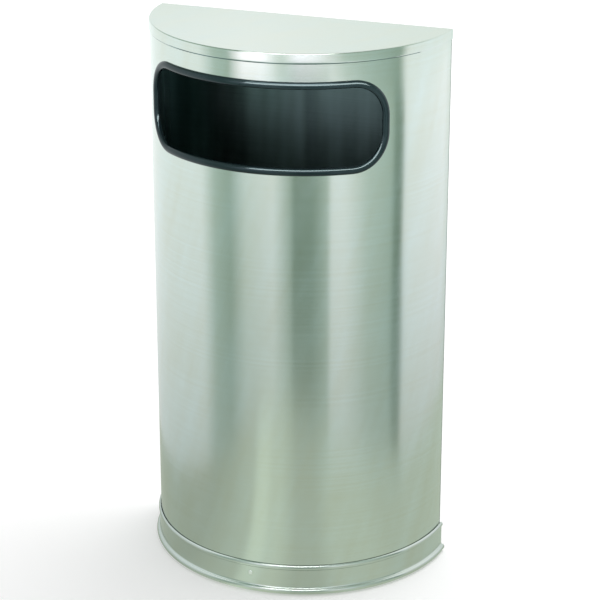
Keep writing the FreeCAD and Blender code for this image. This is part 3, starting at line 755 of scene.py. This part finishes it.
cap_steel = sheet_steel("cap_steel", SHELL_DARK, SHELL_LIGHT, roughness=0.19, brushing=0.08,
                        wave_depth=0.0003)
cap = bmesh.new()
half_round(cap, CAP_RADIUS, CAP_BACK_Y, CAP_TOP)
cap_rim = [edge for edge in cap.edges if edge.is_boundary]
crease = fold(cap, cap_rim, (0.0, 0.0, CAP_EDGE - CAP_FLANGE))
spread_out = 1.0 + CAP_SPRING / CAP_RADIUS
round_part = [vert for vert in corners_of(crease) if vert.co.y < CAP_BACK_Y - SLACK]
bmesh.ops.scale(cap, vec=(spread_out, spread_out, 1.0), space=about_axis, verts=round_part)
free_edge = fold(cap, crease, (0.0, 0.0, -CAP_EDGE))
round_part = [vert for vert in corners_of(free_edge) if vert.co.y < CAP_BACK_Y - SLACK]
bmesh.ops.scale(cap, vec=(1.0 / spread_out, 1.0 / spread_out, 1.0), space=about_axis, verts=round_part)
round_off(cap, cap_rim, CAP_BEND, CAP_BEND_STEPS)
round_off(cap, [edge for edge in crease if edge.is_valid], CAP_EDGE / 2.0, BEND_STEPS)
lid = max(cap.faces, key=lambda face: face.calc_area())
bmesh.ops.inset_region(cap, faces=[lid], thickness=CAP_BORDER, depth=0.0, use_boundary=True,
                       use_even_offset=True)
face_out(cap, (0.0, 0.0, CAP_TOP), UPWARD)
bmesh.ops.solidify(cap, geom=cap.faces[:], thickness=SHELL_SHEET)
map_brushing(cap)
mark_inside(cap)
top_cap = add_piece("top_cap_lid", cap, [cap_steel, mill_steel_painted_shade])
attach(top_cap, "shell")
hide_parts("top_cap")


# Cap rivets: three blind aluminium rivets in a row along the back of the cap.
# They go through the cap's rear flange and the back panel.

CAP_RIVET_SPREAD = 0.3000
CAP_RIVET_COUNT = 3
CAP_GRIP = 0.0017

cap_row = bmesh.new()
for step in range(CAP_RIVET_COUNT):
    across = CAP_RIVET_SPREAD * (step / (CAP_RIVET_COUNT - 1) - 0.5)
    set_rivet(cap_row, (across, CAP_BACK_Y, CAP_TOP - CAP_FLANGE / 2.0 - SHELL_SHEET / 2.0), BACKWARD,
              CAP_GRIP, RIVET_SHANK, RIVET_HEAD, RIVET_HEAD_HEIGHT)
cap_rivets = add_piece("cap_rivet_row", cap_row, [rivet_alloy], RIVET_SHARP)
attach(cap_rivets, "shell")
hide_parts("cap_rivets")


# Floor and sky: a broad sheet of pale paper that the can stands on and shades, under a white sky.
# Both look white to the camera and in the metal, and light the can no more for it.

FLOOR_SIZE = 30.0
FLOOR_DROP = 0.0001
FLOOR_COLOUR = (0.80, 0.80, 0.80, 1.0)
FLOOR_LIFT = 0.24             # what makes the paper look white close to the can
FLOOR_LIFT_FAR = 0.50         # and far off, where it has to meet the sky
FLOOR_NEAR = 1.0
FLOOR_FAR = 6.0
SKY_LIGHT = 0.75
WHITE = (1.0, 1.0, 1.0, 1.0)


def backdrop_rays(tree):
    """Gives 1 for the rays that see the background, straight or in metal or glass, else 0."""
    ray = add_node(tree, "ShaderNodeLightPath")
    seen = ray.outputs["Is Camera Ray"]
    for kind in ("Is Glossy Ray", "Is Transmission Ray"):
        either = add_node(tree, "ShaderNodeMath")
        either.operation = "MAXIMUM"
        tree.links.new(seen, either.inputs[0])
        tree.links.new(ray.outputs[kind], either.inputs[1])
        seen = either.outputs["Value"]
    return seen


floor_paper, floor_tree, floor_shader = new_material("floor_paper")
floor_shader.inputs["Base Color"].default_value = FLOOR_COLOUR
floor_shader.inputs["Roughness"].default_value = 0.9
floor_shader.inputs["Specular IOR Level"].default_value = 0.0
floor_shader.inputs["Emission Color"].default_value = WHITE
floor_place = add_node(floor_tree, "ShaderNodeTexCoord")
far_off = add_node(floor_tree, "ShaderNodeVectorMath")
far_off.operation = "LENGTH"
floor_tree.links.new(floor_place.outputs["Object"], far_off.inputs["Vector"])
paling = add_node(floor_tree, "ShaderNodeMapRange", From_Min=FLOOR_NEAR, From_Max=FLOOR_FAR,
                  To_Min=FLOOR_LIFT, To_Max=FLOOR_LIFT_FAR)
floor_tree.links.new(far_off.outputs["Value"], paling.inputs["Value"])
lift = add_node(floor_tree, "ShaderNodeMath")
lift.operation = "MULTIPLY"
floor_tree.links.new(backdrop_rays(floor_tree), lift.inputs[0])
floor_tree.links.new(paling.outputs["Result"], lift.inputs[1])
floor_tree.links.new(lift.outputs["Value"], floor_shader.inputs["Emission Strength"])
ground = bmesh.new()
bmesh.ops.create_grid(ground, x_segments=1, y_segments=1, size=FLOOR_SIZE / 2.0)
bmesh.ops.translate(ground, vec=(0.0, 0.0, -FLOOR_DROP), verts=ground.verts)
studio_floor = add_piece("studio_floor", ground, [floor_paper])

sky = bpy.data.worlds.new("sky")
bpy.context.scene.world = sky
sky.use_nodes = True
backdrop = sky.node_tree.nodes["Background"]
backdrop.inputs["Color"].default_value = WHITE
sky_level = add_node(sky.node_tree, "ShaderNodeMapRange", To_Min=SKY_LIGHT, To_Max=1.0)
sky.node_tree.links.new(backdrop_rays(sky.node_tree), sky_level.inputs["Value"])
sky.node_tree.links.new(sky_level.outputs["Result"], backdrop.inputs["Strength"])


# Lamps: a large soft lamp hangs high behind the can, and the metal doesn't mirror it.
# A strip lamp close to the front draws the pale highlight along the trim, and lights the trim alone.

OVERHEAD_PLACE = (1.0, 2.2, 4.5)
OVERHEAD_AIM = (0.0, 0.3, 0.3)
OVERHEAD_SIDE = 4.0
OVERHEAD_POWER = 110.0
STRIP_PLACE = (0.215, -0.28, 0.85)
STRIP_AIM = (0.102, 0.0, 0.85)
STRIP_WIDTH = 0.74
STRIP_HEIGHT = 0.15
STRIP_POWER = 6.4
STRIP_COLOUR = (1.0, 0.87, 0.82)


def add_softbox(name, place, aim, width, height, power):
    """Hangs a soft lamp that points at aim."""
    lamp = bpy.data.lights.new(name, "AREA")
    lamp.shape = "RECTANGLE"
    lamp.size = width
    lamp.size_y = height
    lamp.energy = power
    made = bpy.data.objects.new(name, lamp)
    made.location = place
    made.rotation_euler = (Vector(aim) - Vector(place)).to_track_quat("-Z", "Y").to_euler()
    made.visible_camera = False
    bpy.context.scene.collection.objects.link(made)
    return made


overhead = add_softbox("overhead_softbox", OVERHEAD_PLACE, OVERHEAD_AIM, OVERHEAD_SIDE, OVERHEAD_SIDE,
                       OVERHEAD_POWER)
overhead.visible_glossy = False
strip_lamp = add_softbox("trim_strip_lamp", STRIP_PLACE, STRIP_AIM, STRIP_WIDTH, STRIP_HEIGHT,
                         STRIP_POWER)
strip_lamp.data.color = STRIP_COLOUR
trim_alone = bpy.data.collections.new("trim_alone")
trim_alone.objects.link(opening_trim)
strip_lamp.light_linking.receiver_collection = trim_alone


# Cards: rings of glowing paper that stand round the can one over the other, and a disc on the floor.
# The steel mirrors their pale and dark stretches. The camera doesn't see them, and they neither
# light nor shade anything else.

CARD_FRONT = 0.900            # half the length and half the width of the oval that they stand on
CARD_SIDE = 0.560
CARD_OFFSET = 0.080
CARD_STEPS = 96
FLOOR_CARD_HEIGHT = 0.001
WALL_FOOT = 0.002
WALL_TOP = 0.620
STRIP_TOP = 0.950
UPPER_TOP = 1.250
LAMP_TOP = 1.600
HIGH_TOP = 2.000
CARD_FULL = 1.29              # the brightness that a level of 1 stands for
WALL_LOW = 0.84               # the wall cards' brightness at the floor and at their top
WALL_HIGH = 1.28
HAZE = 0.33                   # how far the wall cards are evened out close to the floor
HAZE_LEVEL = 0.60
HAZE_TOP = 0.30
GAP_TINT = (0.61, 1.00, 0.74)
CARD_TINT = (1.08, 1.00, 1.09)
HIGH_TINT = (1.00, 1.00, 1.00)
FLOOR_TINT = (0.905, 1.00, 0.85)

# Each card: the turns at which it starts and ends, and its level at the one and at the other.
# The front of the can is at 0 degrees and its right side at 90.

WALL_CARDS = ((-180.0, -150.0, 0.66, 0.66), (-118.0, -47.0, 0.74, 0.73), (-38.0, -28.0, 0.45, 0.37),
              (-17.0, 0.0, 0.62, 0.72), (1.0, 11.5, 0.70, 0.42), (14.0, 25.0, 0.26, 0.27),
              (26.0, 35.5, 0.28, 0.46), (38.0, 46.0, 0.74, 0.74), (62.0, 78.0, 0.52, 0.43),
              (80.5, 85.5, 0.24, 0.22), (88.0, 134.0, 0.75, 0.82), (150.0, 180.0, 0.66, 0.66))
STRIP_CARDS = ((-180.0, -150.0, 0.62, 0.62), (-118.0, -47.0, 0.74, 0.73), (-37.0, -28.0, 0.45, 0.40),
               (-18.0, -6.0, 1.06, 1.13), (4.0, 8.0, 0.66, 0.66), (16.0, 26.0, 1.00, 0.92),
               (46.0, 82.0, 0.48, 0.32), (88.0, 134.0, 0.74, 0.74), (150.0, 180.0, 0.62, 0.62))
UPPER_CARDS = ((-180.0, -172.0, 0.87, 0.88), (-150.0, -125.0, 0.97, 0.94), (-100.0, 100.0, 0.45, 0.45),
               (125.0, 180.0, 0.91, 0.87))
LAMP_CARDS = ((-180.0, -120.0, 0.90, 0.90), (-90.0, -30.0, 0.30, 0.30), (-18.0, 36.0, 6.00, 6.00),
              (48.0, 90.0, 0.30, 0.30), (120.0, 180.0, 0.90, 0.90))
HIGH_CARDS = ((-180.0, -120.0, 0.90, 0.90), (-100.0, 100.0, 0.25, 0.25), (120.0, 180.0, 0.90, 0.90))
FLOOR_CARDS = ((-180.0, -150.0, 0.50, 0.50), (-110.0, -40.0, 0.42, 0.41), (-14.0, -12.0, 0.53, 0.53),
               (-8.0, -3.0, 0.70, 0.70), (1.0, 6.0, 0.62, 0.62), (16.0, 27.0, 0.49, 0.49),
               (36.0, 55.0, 0.57, 0.57), (70.0, 140.0, 0.53, 0.53), (160.0, 180.0, 0.50, 0.50))


def glow_colour(level, gap_tint, card_tint):
    """A glow's colour at a level: the gap's tint when it is dark, and the card's when it is bright."""
    share = min(level, 1.0)
    return [level * (gap + (card - gap) * share) for gap, card in zip(gap_tint, card_tint)] + [1.0]


def card_glow(name, cards, gap_tint, card_tint, low, high, haze):
    """A glowing paper with the cards on it, which run into one another across the gaps.

    The glow rises from low at the floor to high at the top of the wall cards, and haze is how far
    the cards are evened out close to the floor.
    """
    material, tree, shader = new_material(name)
    shader.inputs["Base Color"].default_value = (0.0, 0.0, 0.0, 1.0)
    shader.inputs["Specular IOR Level"].default_value = 0.0
    place = add_node(tree, "ShaderNodeTexCoord").outputs["Object"]
    turned = add_node(tree, "ShaderNodeMapping", Rotation=(0.0, 0.0, math.pi / 2.0),
                      Location=(AXIS_Y, 0.0, 0.0))
    tree.links.new(place, turned.inputs["Vector"])
    bearing = add_node(tree, "ShaderNodeTexGradient")
    bearing.gradient_type = "RADIAL"
    tree.links.new(turned.outputs["Vector"], bearing.inputs["Vector"])
    levels = add_node(tree, "ShaderNodeValToRGB")
    stops = [stop for start, end, first, last in cards for stop in ((start, first), (end, last))]
    elements = levels.color_ramp.elements
    while len(elements) < len(stops):
        elements.new(0.5)
    for element, (turn, level) in zip(elements, stops):
        element.position = turn / 360.0 + 0.5
        element.color = glow_colour(level, gap_tint, card_tint)
    tree.links.new(bearing.outputs["Fac"], levels.inputs["Fac"])
    split = add_node(tree, "ShaderNodeSeparateXYZ")
    tree.links.new(place, split.inputs["Vector"])
    fade = add_node(tree, "ShaderNodeMapRange", From_Max=HAZE_TOP, To_Min=haze, To_Max=0.0)
    tree.links.new(split.outputs["Z"], fade.inputs["Value"])
    evened = add_node(tree, "ShaderNodeMixRGB", Color2=glow_colour(HAZE_LEVEL, gap_tint, card_tint))
    tree.links.new(fade.outputs["Result"], evened.inputs["Fac"])
    tree.links.new(levels.outputs["Color"], evened.inputs["Color1"])
    tree.links.new(evened.outputs["Color"], shader.inputs["Emission Color"])
    strength = add_node(tree, "ShaderNodeMapRange", From_Max=WALL_TOP, To_Min=low * CARD_FULL,
                        To_Max=high * CARD_FULL)
    tree.links.new(split.outputs["Z"], strength.inputs["Value"])
    tree.links.new(strength.outputs["Result"], shader.inputs["Emission Strength"])
    return material


def card_outline(mesh, height):
    """Draws the oval on which the cards stand."""
    bmesh.ops.create_circle(mesh, cap_ends=False, radius=1.0, segments=CARD_STEPS)
    bmesh.ops.scale(mesh, vec=(CARD_SIDE, CARD_FRONT, 1.0), verts=mesh.verts)
    bmesh.ops.translate(mesh, vec=(CARD_OFFSET, AXIS_Y, height), verts=mesh.verts)


def hide_cards(card):
    """Leaves a card to be mirrored, and no more."""
    card.visible_camera = False
    card.visible_diffuse = False
    card.visible_shadow = False


for name, cards, card_tint, bottom, top, low, high, haze in (
        ("wall_cards", WALL_CARDS, CARD_TINT, WALL_FOOT, WALL_TOP, WALL_LOW, WALL_HIGH, HAZE),
        ("strip_cards", STRIP_CARDS, CARD_TINT, WALL_TOP, STRIP_TOP, WALL_HIGH, WALL_HIGH, 0.0),
        ("upper_cards", UPPER_CARDS, HIGH_TINT, STRIP_TOP, UPPER_TOP, 1.0, 1.0, 0.0),
        ("lamp_cards", LAMP_CARDS, HIGH_TINT, UPPER_TOP, LAMP_TOP, 1.0, 1.0, 0.0),
        ("high_cards", HIGH_CARDS, HIGH_TINT, LAMP_TOP, HIGH_TOP, 1.0, 1.0, 0.0)):
    ring = bmesh.new()
    card_outline(ring, bottom)
    fold(ring, ring.edges[:], (0.0, 0.0, top - bottom))
    glow = card_glow(name + "_glow", cards, GAP_TINT, card_tint, low, high, haze)
    hide_cards(add_piece(name, ring, [glow]))
disc = bmesh.new()
card_outline(disc, FLOOR_CARD_HEIGHT)
bmesh.ops.contextual_create(disc, geom=disc.edges[:])
glow = card_glow("floor_cards_glow", FLOOR_CARDS, FLOOR_TINT, FLOOR_TINT, 1.0, 1.0, 0.0)
hide_cards(add_piece("floor_cards", disc, [glow]))


# Camera: a long lens that looks down at the can from the right of its front.
# The frame is square, and the lens isn't shifted.

CAMERA_PLACE = (1.0758, -2.7335, 1.5370)
CAMERA_LOOK = (-0.3321, 0.8735, -0.3560)
CAMERA_LENS = 130.4
CAMERA_SENSOR = 36.0

camera = bpy.data.cameras.new("camera")
camera.lens = CAMERA_LENS
camera.sensor_width = CAMERA_SENSOR
viewer = bpy.data.objects.new("camera", camera)
viewer.location = CAMERA_PLACE
viewer.rotation_euler = Vector(CAMERA_LOOK).to_track_quat("-Z", "Y").to_euler()
bpy.context.scene.collection.objects.link(viewer)
bpy.context.scene.camera = viewer
bpy.context.scene.view_settings.view_transform = "Standard"
